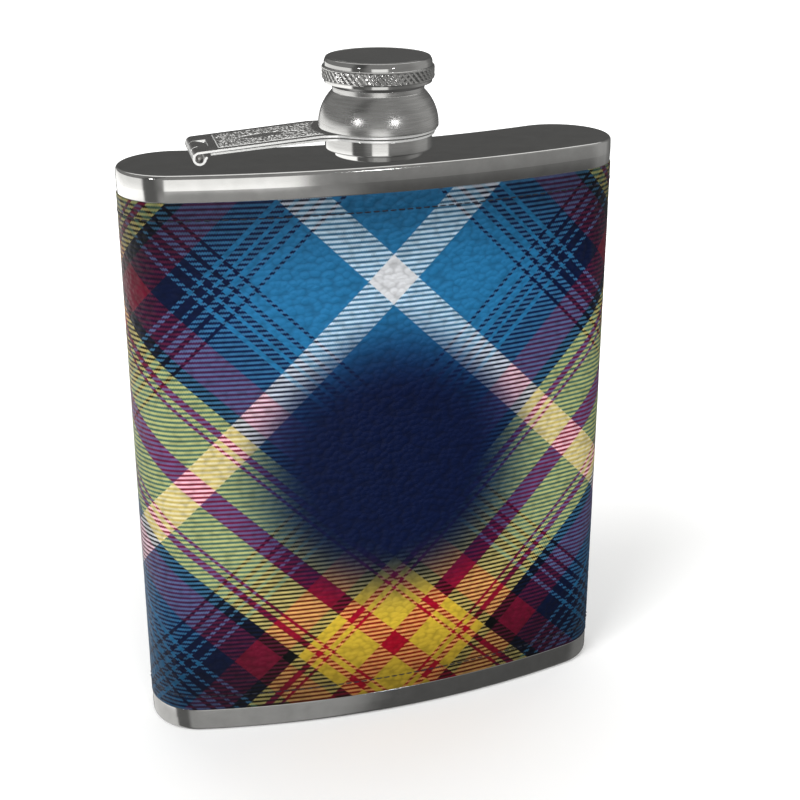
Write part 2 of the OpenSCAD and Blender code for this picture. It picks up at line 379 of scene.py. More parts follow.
# Step of the twill, half of the sett's length, and where the white bands cross: s along the face, and z
TWILL = 0.3315
SETT_END = 54.4
PIVOT_S, PIVOT_Z = -0.78, 92.7
INK = {
    "white": shown(226, 228, 232),
    "blue": shown(41, 119, 171),
    "navy": shown(6, 26, 62),
    "black": shown(4, 6, 14),
    "crimson": shown(124, 20, 53),
    "yellow": shown(232, 196, 62),
    "red": shown(185, 10, 44),
}
# How far the hues of two crossing threads run together
HUE_BLEND = 0.7
# Colour of each band of the sett, and where it ends; the sett turns back at both ends
SETT = [
    ("white", 3.3), ("blue", 17.45), ("navy", 18.1), ("blue", 20.06), ("navy", 20.84),
    ("blue", 22.2), ("navy", 23.4), ("blue", 24.1), ("navy", 25.9), ("blue", 26.7),
    ("navy", 31.3), ("crimson", 37.9), ("black", 40.2), ("yellow", 42.6), ("red", 43.8),
    ("yellow", 44.9), ("red", 45.6), ("yellow", 52.2), ("red", SETT_END),
]
# The soft dark panel: its middle along both threads, the radii where its fade starts and ends, and the half
# width of its fade over the white bands
SHADE_AT = 26.7
SHADE_CORE, SHADE_EDGE = 15.0, 35.0
SHADE_FADE = 3.3
SHADE_INK = shown(9, 25, 60)
# Painted shade on the print towards the faces' edges, where the light falls off: its reach along and up the
# face, its middle height, where it starts as a share of its reach, and how dark it gets
EDGE_SHADE_S, EDGE_SHADE_Z, EDGE_SHADE_Z0 = 70.0, 54.0, 58.5
EDGE_SHADE_START, EDGE_SHADE_DEPTH = 0.6, 0.65
DISPLAY_GAMMA = 2.2
DARKEST = (0.004, 0.004, 0.004, 1)


def sett_stops():
    stops, start = [], 0.0
    for ink, end in SETT:
        stops.append((start / SETT_END, INK[ink]))
        start = end
    return stops


def tartan(nodes, s, z):
    """A twilled tartan set on the diagonal, with a soft dark panel at the front's middle."""
    across = nodes.math("SUBTRACT", s, PIVOT_S)
    down = nodes.math("SUBTRACT", PIVOT_Z, z)
    root = math.sqrt(0.5)
    u = nodes.math("MULTIPLY", nodes.math("ADD", down, across), root)
    v = nodes.math("MULTIPLY", nodes.math("SUBTRACT", down, across), root)
    threads, steps = [], []
    for along in (u, v):
        folded = nodes.math("PINGPONG", along, SETT_END)
        threads.append(nodes.ramp(nodes.math("DIVIDE", folded, SETT_END), sett_stops(), "CONSTANT"))
        steps.append(nodes.math("FLOOR", nodes.math("DIVIDE", along, TWILL)))
    # Two over, two under, one step on at each thread
    step = nodes.math("FLOORED_MODULO", nodes.math("ADD", *steps), 4.0)
    over = nodes.math("LESS_THAN", step, 1.5)
    cloth = crossed(nodes, over, *threads)
    printed = to_linear(nodes, nodes.mix(panel_shade(nodes, u, v), cloth, SHADE_INK))
    # The printed colour, times the painted shade towards the faces' edges
    return nodes.mix(1.0, printed, painted_edge_shade(nodes, s, z), "MULTIPLY")


def crossed(nodes, over, warp, weft):
    """The upper thread's lightness, with its hue partly shared with the thread it crosses."""
    own = nodes.mix(over, warp, weft)
    both = nodes.mix(0.5, warp, weft)
    light_own, light_both = (nodes.add("RGBToBW", {0: colour}).outputs[0] for colour in (own, both))
    lighter = nodes.math("SUBTRACT", light_own, light_both)
    shared = nodes.mix(1.0, both, nodes.grey(lighter), "ADD")
    return nodes.mix(HUE_BLEND, own, shared)


def panel_shade(nodes, u, v):
    """1 in the dark panel and 0 outside it; it stops within the white bands."""
    squares = [
        nodes.math("POWER", nodes.math("ABSOLUTE", nodes.math("SUBTRACT", along, SHADE_AT)), 2.0)
        for along in (u, v)
    ]
    off = nodes.math("SQRT", nodes.math("ADD", *squares))
    shade = nodes.math("SUBTRACT", 1.0, nodes.smooth(off, SHADE_CORE, SHADE_EDGE))
    for along in (u, v):
        shade = nodes.math("MULTIPLY", shade, nodes.smooth(along, -SHADE_FADE, SHADE_FADE))
    return shade


def to_linear(nodes, colour):
    lifted = nodes.mix(1.0, colour, DARKEST, "LIGHTEN")
    return nodes.add("Gamma", {0: lifted, 1: DISPLAY_GAMMA}).outputs[0]


def painted_edge_shade(nodes, s, z):
    """Painted shade: the print is darkened softly towards the edges of each face, where the light falls off.
    """
    off = nodes.math("ABSOLUTE", s)
    off = nodes.math("MINIMUM", off, nodes.math("SUBTRACT", ROUND_L / 2, off))
    away = nodes.math("ABSOLUTE", nodes.math("SUBTRACT", z, EDGE_SHADE_Z0))
    cubes = [
        nodes.math("POWER", nodes.math("DIVIDE", value, reach_of), 3.0)
        for value, reach_of in ((off, EDGE_SHADE_S), (away, EDGE_SHADE_Z))
    ]
    outer = nodes.math("POWER", nodes.math("ADD", *cubes), 1 / 3)
    dark = nodes.math("MULTIPLY", nodes.smooth(outer, EDGE_SHADE_START, 1.0), EDGE_SHADE_DEPTH)
    return nodes.grey(nodes.math("SUBTRACT", 1.0, dark))


# The leather's grain: cells of about 1.4 mm, drawn out sideways and pushed about by up to DRIFT metres
CELL_SCALE, CELL_SQUASH = 720.0, 1.35
DRIFT_SCALE, DRIFT = 420.0, 9e-4
# Painted shade in the grain's valleys: where it starts and where it is full, in distance from a cell's
# middle, and its tone
VALLEY_SHADE_FROM, VALLEY_SHADE_TO = 0.4, 0.85
VALLEY_SHADE_TONE = (0.74, 0.74, 0.74, 1)
# Tone of the random clouds in the print
CLOUD_TONE = (0.93, 0.93, 0.93, 1)
CELL_DEPTH, PORE_DEPTH = 2.2e-4, 1.2e-5
PORE_SCALE, WEAR_SCALE, PRINT_CLOUD_SCALE = 3000.0, 45.0, 160.0
LEATHER_ROUGH = (0.42, 0.56)


def leather_cells(nodes, place_in):
    """Distance from the middle of each cell of the leather's grain."""
    drift = nodes.add("TexNoise", {"Vector": place_in, "Scale": DRIFT_SCALE, "Detail": 2.0}).outputs["Color"]
    drift = stretched(nodes, drift, DRIFT, DRIFT, DRIFT)
    moved = nodes.add("VectorMath", {0: stretched(nodes, place_in, 1, 1, CELL_SQUASH), 1: drift}).outputs[0]
    return nodes.add("TexVoronoi", {"Vector": moved, "Scale": CELL_SCALE}, feature="F1").outputs["Distance"]


def printed_leather():
    material, nodes, shader, place_in = new_material("printed_leather")
    uv = nodes.add("SeparateXYZ", {0: nodes.add("UVMap", uv_map="print").outputs[0]})
    s = nodes.math("MULTIPLY", nodes.math("SUBTRACT", uv.outputs[0], 0.5), ROUND_L)
    z = nodes.math("MULTIPLY", uv.outputs[1], PLATE_Z)
    ink = tartan(nodes, s, z)
    cells = leather_cells(nodes, place_in)
    pores = nodes.noise(place_in, PORE_SCALE, 3.0, 0.6)
    worn = nodes.noise(place_in, WEAR_SCALE, 3.0)
    # Painted shade: the ink is darkened in the valleys between the grain's cells
    shade = nodes.ramp(nodes.smooth(cells, VALLEY_SHADE_FROM, VALLEY_SHADE_TO), [(0.0, WHITE), (1.0, VALLEY_SHADE_TONE)])
    cloud = nodes.tones(nodes.noise(place_in, PRINT_CLOUD_SCALE, 3.0), CLOUD_TONE, WHITE)
    colour = nodes.mix(1.0, nodes.mix(1.0, ink, shade, "MULTIPLY"), cloud, "MULTIPLY")
    nodes.put(shader.inputs["Base Color"], colour)
    nodes.put(shader.inputs["Roughness"], nodes.spread(worn, *LEATHER_ROUGH))
    shader.inputs["Specular IOR Level"].default_value = 0.2
    normal = nodes.bump(cells, -CELL_DEPTH, 0.9)
    normal = nodes.bump(pores, PORE_DEPTH, 0.5, normal)
    nodes.put(shader.inputs["Normal"], normal)
    return material


def thread_material():
    material, nodes, shader, place_in = new_material("thread")
    fibres = nodes.noise(place_in, 6000.0, 3.0)
    nodes.put(shader.inputs["Base Color"], nodes.tones(fibres, linear(8, 12, 24), linear(24, 30, 48)))
    shader.inputs["Roughness"].default_value = 0.6
    nodes.put(shader.inputs["Normal"], nodes.bump(fibres, 2e-5))
    return material


def plain_material(name, dark, light, rough, scale, metallic=0.0):
    """For parts that show little: a mottled colour with a fine bump."""
    material, nodes, shader, place_in = new_material(name)
    mottle = nodes.noise(place_in, scale, 4.0)
    nodes.put(shader.inputs["Base Color"], nodes.tones(mottle, dark, light))
    shader.inputs["Roughness"].default_value = rough
    shader.inputs["Metallic"].default_value = metallic
    nodes.put(shader.inputs["Normal"], nodes.bump(mottle, 3e-5))
    return material


# ---- Flask body ----

PAN_STEP = 0.7
HOLE_SECTORS = 96


def with_plate(name, profile, hole_r, flat_z):
    """A pan: a profile of (offset, z) swept right round, and a plate, holed or whole, at each of flat_z."""
    stations = stations_every(PAN_STEP)
    n = len(stations)
    bm = bmesh.new()
    made = [bm.verts.new(on_body(s, d, z) * MM) for d, z in profile for s in stations]
    rows = [made[i * n:(i + 1) * n] for i in range(len(profile))]
    for face in quads_between(rows, False, True):
        bm.faces.new(face)
    holes = []
    for rim, z in zip((rows[0], rows[-1]), flat_z):
        edges = [bm.edges.get(pair) for pair in zip(rim, rim[1:] + rim[:1])]
        if hole_r:
            corners, _ = turned([(hole_r, z)], HOLE_SECTORS)
            ring = [bm.verts.new(corner * MM) for corner in corners]
            edges += [bm.edges.new(pair) for pair in zip(ring, ring[1:] + ring[:1])]
            holes.append(ring)
        bmesh.ops.triangle_fill(bm, use_beauty=True, edges=edges)
    for face in quads_between(holes, False, True):
        bm.faces.new(face)
    mesh = bpy.data.meshes.new(name)
    bm.to_mesh(mesh)
    bm.free()
    return finish_mesh(name, mesh, 30)


RIM_STEPS, CROWN_STEPS = 14, 8
# The band leans in a little towards its rim, over this height
BAND_FROM, BAND_CROWN, BAND_FALL = 4.2, 1.95, 0.05
# The band's open edge is eased, leans in by LEAN and clears the wrap by WRAP_GAP
LIP_R, LEAN, WRAP_GAP = 0.14, 0.08, 0.05
LEAN_R = 0.4
# How far the rounded side reaches in over the plates, inside and outside
INNER_LAP, OUTER_LAP = 0.3, 0.15


def pan_profile(z_open, z_flat):
    """Side of a pan from its inner plate edge round its skirt to its outer plate edge."""
    up = 1 if z_flat > z_open else -1
    inner, recess = HALF_T - SHEET, SHELL_OUT - SHEET
    ledge = abs(z_flat - z_open) - WRAP_Z0 + WRAP_GAP
    crown = []
    for i in range(CROWN_STEPS + 1):
        t = i / CROWN_STEPS
        crown.append((HALF_T - BAND_FALL * t ** 2, z_open + up * (BAND_FROM + BAND_CROWN * i / CROWN_STEPS)))
    last_d, last_z = crown[-1]
    turn = math.atan2(2 * BAND_FALL, BAND_CROWN)
    rim = []
    for i in range(1, RIM_STEPS + 1):
        a = turn + (math.pi / 2 - turn) * i / RIM_STEPS
        rise = up * (z_flat - last_z) * (math.sin(a) - math.sin(turn)) / (1 - math.sin(turn))
        rim.append((last_d - RIM_R * (math.cos(turn) - math.cos(a)), last_z + up * rise))
    under = z_flat - up * SHEET
    lip = filleted([
        (SHELL_OUT, 0, 0), (SHELL_OUT, ledge, 0), (HALF_T - LEAN, ledge, LIP_R), (HALF_T, BAND_FROM, LEAN_R),
        (HALF_T - 0.001, BAND_FROM + 0.3, 0)
    ])[:-1]
    return [
        (inner - INNER_LAP, under), (inner, under), (inner, z_open + up * (ledge + SHEET)),
        (recess, z_open + up * (ledge + SHEET - HALF_T + SHELL_OUT)), (recess, z_open),
        *((d, z_open + up * rise) for d, rise in lip), *crown, *rim, (rim[-1][0] - OUTER_LAP, z_flat)
    ]


def make_pans(material):
    z_low, z_high = levels("top_pan")
    top = with_plate("shoulder_pan", pan_profile(z_low, z_high), TUBE_R, (z_high - SHEET, z_high))
    place(top, "flask", "polished_steel", material, "top_pan")
    z_low, z_high = levels("bottom_pan")
    base = with_plate("base_pan", pan_profile(z_high, z_low), 0, (z_low + SHEET, z_low))
    place(base, "flask", "polished_steel", material, "bottom_pan")


# ---- Wrap ----

WRAP_STEP = 0.5
# Rolled edge of the leather, as (depth, distance from the edge); its face starts at EDGE_ROLL from the edge
EDGE_ROLL = 0.16
ROLLED = [(0.045, 0.06), (0.14, 0.0)]
# Heights of its folds and creases, and how wide a crease is in the noise that draws it
FOLD, CREASE, FINE_CREASE, CREASE_WIDTH = 0.03, 0.03, 0.02, 0.12
# Rows of stitches: their distance from the wrap's edges and from the seam, and the groove that they pull
ROW_INSET = 3.2
BACK_ROW_S = ROUND_L / 2 - 2.5
PULL, PULL_WIDTH = 0.09, 0.3
# Rows of the wrap's face are closer together, by FINE_STEP, within FINE_REACH of a stitch row
FINE_STEP, FINE_REACH = 0.2, 0.9
STITCH_PITCH, STITCH_L, STITCH_R = 1.6, 1.4, 0.12
STITCH_RINGS, STITCH_SIDES = 7, 8
# A stitch lies STITCH_BED down, bows up by STITCH_LIFT and drops by STITCH_DROP at its ends; its thread is
# pressed flat to STITCH_FLAT, and thins at its ends to the root of END_THIN
STITCH_BED, STITCH_LIFT, STITCH_DROP = 0.05, 0.06, 0.22
STITCH_FLAT, END_THIN = 0.75, 0.12
# How far the edge rows run past the back rows, and how far inside them the back rows stop
TURN_GAP, ROW_GAP = 1.4, 0.9


def leather_relief(s, z):
    """Height of the leather: soft folds, a net of shallow creases, and the pull of the stitch rows."""
    folds = noise.noise(Vector((s / 7.0, z / 7.0, 3.1)))
    net = abs(noise.noise(Vector((s / 2.3, z / 2.0, 7.7))))
    net2 = abs(noise.noise(Vector((s / 1.5 + 40, z / 1.7, 1.9))))
    height = FOLD * folds - CREASE * bell(net, CREASE_WIDTH) - FINE_CREASE * bell(net2, CREASE_WIDTH)
    for row in (WRAP_Z0 + ROW_INSET, WRAP_Z1 - ROW_INSET):
        height -= PULL * bell(z - row, PULL_WIDTH)
    height -= PULL * bell(abs(s) - BACK_ROW_S, PULL_WIDTH)
    return height


def bell(off, width):
    return math.exp(-(off / width) ** 2)


def wrap_levels():
    """Rows of the wrap's face: even, and closer together at the stitch rows."""
    rows, z = [], WRAP_Z0 + EDGE_ROLL
    while z < WRAP_Z1 - EDGE_ROLL:
        rows.append(z)
        near = min(abs(z - WRAP_Z0 - ROW_INSET), abs(z - WRAP_Z1 + ROW_INSET))
        z += FINE_STEP if near < FINE_REACH else WRAP_STEP
    rows[-1] = WRAP_Z1 - EDGE_ROLL
    return rows


def make_wrap(material):
    stations = stations_every(WRAP_STEP, SEAM_HALF)
    profile = [(WRAP_OUT - d, WRAP_Z0 + up) for d, up in reversed(ROLLED)]
    face_start = len(profile)
    profile += [(WRAP_OUT, z) for z in wrap_levels()]
    face_end = len(profile)
    profile += [(WRAP_OUT - d, WRAP_Z1 - up) for d, up in ROLLED]
    profile += [(GLUE_OUT, WRAP_Z1), (GLUE_OUT, WRAP_Z0)]
    verts = []
    for i, (d, z) in enumerate(profile):
        inside = face_start < i < face_end - 1
        for s in stations:
            verts.append(on_body(s, d + (leather_relief(s, z) if inside else 0), z))
    n = len(stations)
    grid = [list(range(i * n, (i + 1) * n)) for i in range(len(profile))]
    faces = quads_between(grid, True, False)
    faces += [tuple(row[0] for row in grid), tuple(row[-1] for row in reversed(grid))]
    mesh = bpy.data.meshes.new("tartan_wrap")
    mesh.from_pydata([tuple(v * MM) for v in verts], [], faces)
    uv = mesh.uv_layers.new(name="print")
    for loop in mesh.loops:
        row, column = divmod(loop.vertex_index, n)
        uv.data[loop.index].uv = (stations[column] / ROUND_L + 0.5, profile[row][1] / PLATE_Z)
    piece = finish_mesh("tartan_wrap", mesh, 50)
    place(piece, "flask", "printed_leather", material, "leather_wrap")


def stitch(s, z, upright, verts, faces):
    """Adds one stitch: a short bowed thread whose ends sink into the leather."""
    rows = []
    for i in range(STITCH_RINGS):
        t = 2 * i / (STITCH_RINGS - 1) - 1
        thick = STITCH_R * math.sqrt(max(END_THIN, 1 - t ** 4))
        lift = STITCH_LIFT - STITCH_DROP * t ** 4
        along = t * STITCH_L / 2
        row = []
        for k in range(STITCH_SIDES):
            a = 2 * math.pi * k / STITCH_SIDES
            side, out = thick * math.cos(a), STITCH_FLAT * thick * math.sin(a)
            ds, dz = (side, along) if upright else (along, side)
            row.append(len(verts))
            verts.append(on_body(s + ds, WRAP_OUT - STITCH_BED + lift + out, z + dz))
        rows.append(row)
    faces += quads_between(rows, False, True)
    faces += [tuple(reversed(rows[0])), tuple(rows[-1])]


def make_stitches(material):
    count = round(ROUND_L / STITCH_PITCH)
    rows = (("top", WRAP_Z1 - ROW_INSET), ("bottom", WRAP_Z0 + ROW_INSET))
    for name, z in rows:
        verts, faces = [], []
        for i in range(count):
            s = ROUND_L * ((i + 0.5) / count - 0.5)
            if abs(s) < BACK_ROW_S + TURN_GAP:
                stitch(s, z, False, verts, faces)
        piece = build(name + "_stitches", verts, faces, 60)
        place(piece, "flask", "thread", material, name + "_stitching")
    verts, faces = [], []
    low, high = rows[1][1] + ROW_GAP, rows[0][1] - ROW_GAP
    count = round((high - low) / STITCH_PITCH)
    for s in (-BACK_ROW_S, BACK_ROW_S):
        for i in range(count):
            stitch(s, low + (high - low) * (i + 0.5) / count, True, verts, faces)
    piece = build("back_stitches", verts, faces, 60)
    place(piece, "flask", "thread", material, "back_stitching")


# ---- Neck ----

# Radii of the collar: its foot, its cup at bottom and top, the seat of the arm's ring, its lip and its bore
FOOT_R, CUP_LOW_R, CUP_TOP_R, SEAT_R, LIP_TOP_R, CUP_BORE_R = 8.2, 9.92, 9.82, 9.3, 9.6, 8.9


def make_collar(material):
    z0, z1 = levels("neck_collar")
    foot_z, seat_z, lip_z = z0 + 1.3, z0 + 3.85, z1 - 0.14
    floor_z = foot_z + 0.35
    corners = [
        (TUBE_R, z0, 0), (FOOT_R, z0, 0.12), (FOOT_R, foot_z, 0.12), (CUP_LOW_R, foot_z - 0.15, 0.35),
        (CUP_TOP_R, seat_z, 0.08), (SEAT_R, seat_z, 0.05), (SEAT_R, lip_z, 0.03), (LIP_TOP_R, lip_z, 0.04),
        (LIP_TOP_R, z1, 0.05), (CUP_BORE_R, z1, 0.05), (CUP_BORE_R, floor_z, 0.2), (TUBE_R, floor_z, 0)
    ]
    verts, faces = turned(filleted(corners), SECTORS)
    place(build("collar", verts, faces, 30), "flask", "turned_steel", material, "neck_collar")


# ---- Cap ----

# Dome: where its side's arc has its middle, and the arc's radius; its foot, its wall, the insert's hole and
# the insert's shoulder
ARC_X, ARC_R = 2.5, 8.55
DOME_R, DOME_IN_R, DOME_WALL = 11.05, 9.0, 0.75
INSERT_R, SHOULDER_R = 7.78, 8.1
# The waist between dome and crown; the dome ends a little inside it
WAIST_R, WAIST_STEP = 8.53, 0.12


def make_dome(material):
    z0, z1 = levels("cap_dome")
    arc_z, lip_z = z0 + 0.35, z0 + 0.6
    waist_z0 = z1 - 0.9
    sleeve_top = levels("cap_sleeve")[1]
    top_a = math.degrees(math.asin((waist_z0 - arc_z) / ARC_R))
    neck_r = WAIST_R - WAIST_STEP
    outer = filleted([(DOME_IN_R, z0, 0), (DOME_R, z0, 0.12), (DOME_R, arc_z, 0)])[:-1]
    outer += arc_points(ARC_X, arc_z, ARC_R, 0, top_a, 40)
    outer += filleted([(neck_r, waist_z0 + 0.05, 0), (neck_r, z1, 0.04), (INSERT_R, z1, 0)])
    seat = sleeve_top - 0.5
    inner_r = ARC_R - DOME_WALL
    seat_a = math.degrees(math.asin((seat - arc_z) / inner_r))
    inner = [Vector((INSERT_R, sleeve_top)), Vector((SHOULDER_R, sleeve_top)), Vector((SHOULDER_R, seat))]
    inner += arc_points(ARC_X, arc_z, inner_r, seat_a, 3, 24)
    inner += [Vector((ARC_X + ARC_R - DOME_WALL, lip_z)), Vector((DOME_IN_R, lip_z))]
    verts, faces = turned(outer + inner, SECTORS)
    place(build("dome", verts, faces, 28), "cap", "turned_steel", material, "cap_dome")


# Knurl: its cuts lean both ways, one way deeper than the other, and run out at both ends
KNURLS = 52
KNURL_STEPS, KNURL_ROWS = 14, 26
KNURL_SLANT = 1.0
KNURL_DEPTH = 0.3
KNURL_SHARES = (0.75, 0.25)
KNURL_SHAPE = 1.2
KNURL_RUN_OUT = 6


def make_crown(material):
    z0, z1 = levels("cap_crown")
    waist_top = levels("cap_dome")[1]
    # Where the crown's plain band starts, and the knurl's lower and upper ends
    band_z, low, high = waist_top + 0.7, PLATE_Z + 13.8, PLATE_Z + 16.2
    knurl_r, band_r, disc_r, disc_t = 10.28, 9.82, 8.85, 0.35

    def knurl(a, r, z):
        t = (z - low) / (high - low)
        if r < band_r + 0.05 or not 0 < t < 1:
            return 0
        turn = a * KNURLS / (2 * math.pi)
        rise = KNURL_SLANT * (z - low) * KNURLS / (2 * math.pi * knurl_r)
        cuts = [abs((turn + side * rise) % 1 - 0.5) * 2 for side in (1, -1)]
        depth = KNURL_DEPTH * (KNURL_SHARES[0] * cuts[0] + KNURL_SHARES[1] * cuts[1]) ** KNURL_SHAPE
        return -depth * min(1, KNURL_RUN_OUT * t, KNURL_RUN_OUT * (1 - t))

    # The knurled band's edges are cut off at a slant: bevel_r in, bevel_z along
    bevel_r, bevel_z = 0.25, 0.22
    under = filleted([
        (0, z0, 0), (INSERT_R, z0, 0), (INSERT_R, waist_top, 0), (WAIST_R, waist_top, 0.05),
        (9.2, band_z - 0.1, 0.2), (band_r, band_z, 0.1), (band_r, low, 0.03), (knurl_r - bevel_r, low, 0.03),
        (knurl_r, low + bevel_z, 0)
    ])
    span = high - low - 2 * bevel_z
    knurled = [Vector((knurl_r, low + bevel_z + span * i / KNURL_ROWS)) for i in range(1, KNURL_ROWS)]
    over = filleted([
        (knurl_r, high - bevel_z, 0), (knurl_r - bevel_r, high, 0.1), (band_r + 0.02, high + 0.05, 0.1),
        (band_r + 0.02, z1 - 0.75, 0.6), (band_r - 0.3, z1 - 0.05, 0.3),
        (disc_r, z1, 0.12), (disc_r, z1 - disc_t, 0), (0, z1 - disc_t, 0)
    ], 7)
    verts, faces = turned(under + knurled + over, KNURLS * KNURL_STEPS, closed=False, relief=knurl)
    place(build("crown", verts, faces, 32), "cap", "turned_steel", material, "cap_crown")


# Gap round the inlaid disc
DISC_GAP = 0.03


def make_disc(material):
    z0, z1 = levels("cap_top_disc")
    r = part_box("cap_top_disc")[1].x / MM - DISC_GAP
    rim_z, face_z = z1 - 0.02, z1 - 0.05
    corners = [(0, z0, 0), (r, z0, 0.03), (r, rim_z, 0.1), (r - 0.6, face_z, 0.2), (0, face_z, 0)]
    verts, faces = turned(filleted(corners), SECTORS, closed=False)
    place(build("crown_disc", verts, faces, 30), "cap", "polished_steel", material, "cap_top_disc")


# ---- Arm ----

# Both leaves are flat as far as FLAT_X; the lower one keeps its full width to STRAP_GAP before the pin
FLAT_X, STRAP_GAP = 12.0, 2.0
STRAP_X = -PIN_X - STRAP_GAP
LOW_TOP = 118.13
LEAF_T, LOW_T = 0.46, 0.41
LEAF_GAP = 0.12
# Plan of each leaf: radii of its ring and its hole, and half widths of its strap and its middle cut or tongue
UPPER_R, UPPER_HOLE_R, UPPER_HALF, NOTCH_HALF = 10.7, 8.18, 6.7, 2.5
LOWER_R, LOWER_HOLE_R, LOWER_HALF, TONGUE_HALF = 10.35, 9.38, 6.3, 2.3
# Where the notch ends, along the upper leaf
NOTCH_AT = 31.66
FLARE_R = 6.0
LEAF_EDGE = 0.13
# Angles round the pin at which the curls end, and the upper curl's tail as (length, heading)
UPPER_CURL_END, LOWER_CURL_END, CURL_STEPS = 346, 350, 34
CURL_TAIL = ((0.2, 62), (0.15, 48), (0.15, 36))
# The stamped panel: its left end, the radius of its right end about the neck, its half width, the depth under
# the leaf's face that it starts at, and its groove
PANEL_X0, PANEL_R = -30.2, 12.35
PANEL_HALF = 5.5
PANEL_SUNK = 0.03
PANEL_COLUMNS, PANEL_ROWS = 150, 84
GROOVE_X0, GROOVE_X1, GROOVE_HALF = -26.0, -17.0, 1.25
# Heights over the leaf: the groove's floor, the border, the groove's lip, the field and its pebbles
FLOOR_H, BORDER_H, LIP_H, FIELD_H, PEBBLE_H = 0.015, 0.08, 0.05, 0.02, 0.1
RIDGE_WIDTH = 0.1
PEBBLE_PITCH, PEBBLE_REACH = 0.5, 0.62


class Bent:
    """A sheet's top face in side view: points (x, z) from its right end, measured from the neck's axis."""

    def __init__(self, points):
        self.points = points
        self.along = [-points[0].x]
        for a, b in zip(points, points[1:]):
            self.along.append(self.along[-1] + (b - a).length)
        flow = [(b - a).normalized() for a, b in zip(points, points[1:])]
        mean = [flow[0]] + [(a + b).normalized() for a, b in zip(flow, flow[1:])] + [flow[-1]]
        self.normals = [Vector((d.y, -d.x)) for d in mean]

    def at(self, along, y, depth):
        """The point depth under the top face."""
        i = 0
        while i < len(self.along) - 2 and self.along[i + 1] < along:
            i += 1
        t = (along - self.along[i]) / (self.along[i + 1] - self.along[i])
        p = self.points[i].lerp(self.points[i + 1], t)
        n = self.normals[i].lerp(self.normals[i + 1], t)
        return on_arm(p.x - n.x * depth, y, p.y - n.y * depth)


def leaf_outline(ring_r, half_w, ends):
    """Plan of a leaf (along, y): ends is the chain of corners at the hinge on the side of negative y."""
    flare_y = half_w + FLARE_R
    flare_x = math.sqrt((ring_r + FLARE_R) ** 2 - flare_y ** 2)
    meet = math.degrees(math.atan2(flare_y, flare_x))
    lower = [Vector(end) for end in ends]
    lower += arc_points(flare_x, -flare_y, FLARE_R, 90, 180 - meet, 10)
    ring = arc_points(0, 0, ring_r, -meet, meet - 360, 110)
    upper = [Vector((p.x, -p.y)) for p in reversed(lower)]
    return lower + ring[1:-1] + upper


def bent_sheet(name, outline, hole_r, path, thick):
    """A flat blank with a round hole, cut into strips and bent along a path."""
    bm = bmesh.new()
    edges = []
    for loop in (outline, arc_points(0, 0, hole_r, 0, 360, 120)[:-1]):
        ring = [bm.verts.new((p.x, p.y, 0)) for p in loop]
        edges += [bm.edges.new(pair) for pair in zip(ring, ring[1:] + ring[:1])]
    bmesh.ops.triangle_fill(bm, use_beauty=True, edges=edges)
    for cut in path.along[1:-1]:
        geometry = bm.verts[:] + bm.edges[:] + bm.faces[:]
        bmesh.ops.bisect_plane(bm, geom=geometry, plane_co=(cut, 0, 0), plane_no=(1, 0, 0), dist=1e-5)
    bm.verts.index_update()
    n = len(bm.verts)
    verts = [path.at(v.co.x, v.co.y, 0) for v in bm.verts]
    verts += [path.at(v.co.x, v.co.y, thick) for v in bm.verts]
    faces = []
    for face in bm.faces:
        ids = [v.index for v in face.verts]
        faces += [tuple(ids), tuple(n + i for i in reversed(ids))]
    for rim in bm.edges:
        if len(rim.link_faces) == 1:
            a, b = (v.index for v in rim.verts)
            faces.append((a, b, n + b, n + a))
    bm.free()
    piece = build(name, verts, faces, 40)
    bevel = piece.modifiers.new("edge", "BEVEL")
    bevel.width = LEAF_EDGE * MM
    bevel.segments = 3
    bevel.limit_method = "ANGLE"
    bevel.angle_limit = math.radians(50)
    bevel.harden_normals = True
    bpy.context.view_layer.update()
    graph = bpy.context.evaluated_depsgraph_get()
    mesh = bpy.data.meshes.new_from_object(piece.evaluated_get(graph))
    piece.modifiers.clear()
    piece.data = mesh
    return piece


def leaf_slope():
    """Slope of the upper leaf's strap, which runs from FLAT_X straight into the curl."""
    rise, run = LEAF_TOP - PIN_Z, -PIN_X - FLAT_X
    return math.atan2(rise, run) - math.asin(KNUCKLE_R / math.hypot(rise, run))


def upper_path():
    points = [Vector((UPPER_R, LEAF_TOP)), Vector((-FLAT_X, LEAF_TOP))]
    points += arc_points(PIN_X, PIN_Z, KNUCKLE_R, 90 + math.degrees(leaf_slope()), UPPER_CURL_END, CURL_STEPS)
    end = points[-1]
    for length, heading in CURL_TAIL:
        a = math.radians(heading)
        end = end + Vector((math.cos(a), math.sin(a))) * length
        points.append(end)
    return Bent(points)


def lower_path():
    end_z = LEAF_TOP - math.tan(leaf_slope()) * (STRAP_X - FLAT_X) - LEAF_T - LEAF_GAP
    dx, dz = PIN_X + STRAP_X, PIN_Z - end_z
    away = math.hypot(dx, dz)
    touch = math.degrees(math.atan2(dz, dx) - math.asin(KNUCKLE_R / away)) - 90
    points = [Vector((LOWER_R, LOW_TOP)), Vector((-FLAT_X, LOW_TOP)), Vector((-STRAP_X, end_z))]
    points += arc_points(PIN_X, PIN_Z, KNUCKLE_R, touch % 360, LOWER_CURL_END, CURL_STEPS)
    return Bent(points)


def make_links(material):
    path = upper_path()
    end = path.along[-1]
    ends = [(NOTCH_AT, -NOTCH_HALF), (end, -NOTCH_HALF), (end, -UPPER_HALF)]
    outline = leaf_outline(UPPER_R, UPPER_HALF, ends)
    piece = bent_sheet("upper_leaf", outline, UPPER_HOLE_R, path, LEAF_T)
    place(piece, "upper_arm", "pressed_steel", material, "upper_link")
    path = lower_path()
    ends = [(path.along[-1], -TONGUE_HALF), (STRAP_X, -TONGUE_HALF), (STRAP_X, -LOWER_HALF)]
    outline = leaf_outline(LOWER_R, LOWER_HALF, ends)
    piece = bent_sheet("lower_leaf", outline, LOWER_HOLE_R, path, LOW_T)
    place(piece, "lower_arm", "pressed_steel", material, "lower_link")


